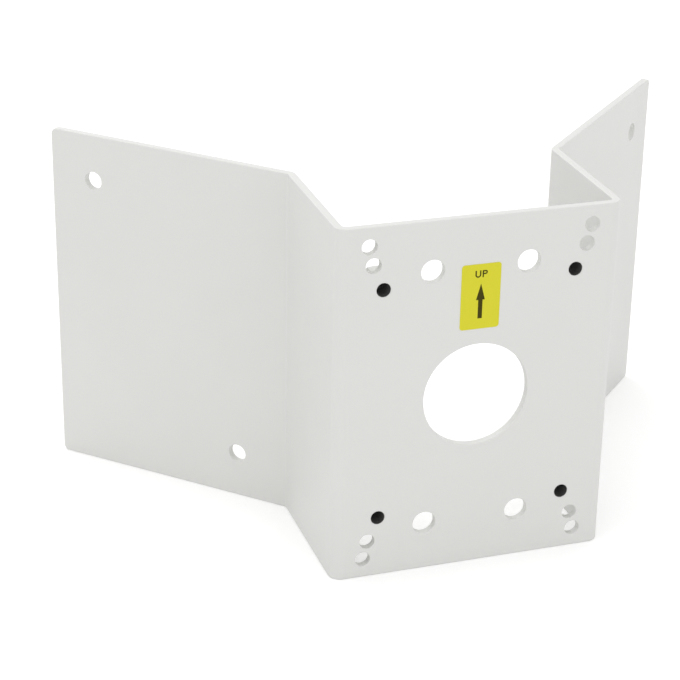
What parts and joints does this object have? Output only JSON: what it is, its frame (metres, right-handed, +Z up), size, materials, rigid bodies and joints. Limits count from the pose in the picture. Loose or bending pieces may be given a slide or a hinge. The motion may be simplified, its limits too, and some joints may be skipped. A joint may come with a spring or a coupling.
{
  "type": "camera corner mount bracket",
  "caption": "Folded sheet bracket that holds a camera arm at a building's outside corner: front plate with holes and clinch nuts, side webs, and wings at 45 degrees.",
  "frame": {"origin": "on the surface it stands on, below the middle of its outline", "axes": "+Z up along the bends, +Y from the front plate back to the building, +X to the right as seen from the front"},
  "size_m": [0.329, 0.174, 0.18],
  "materials": {
    "powder_coat": "off-white powder coat on aluminium sheet, satin",
    "nut_metal": "steel, coated outside, bare and dark in the thread",
    "label_film": "yellow printed film, satin"
  },
  "bodies": {
    "root": {"bracket_sheet": "powder_coat", "direction_label": "label_film", "clinch_nut_upper_left": "nut_metal", "clinch_nut_upper_right": "nut_metal", "clinch_nut_lower_left": "nut_metal", "clinch_nut_lower_right": "nut_metal"}
  },
  "joints": []
}
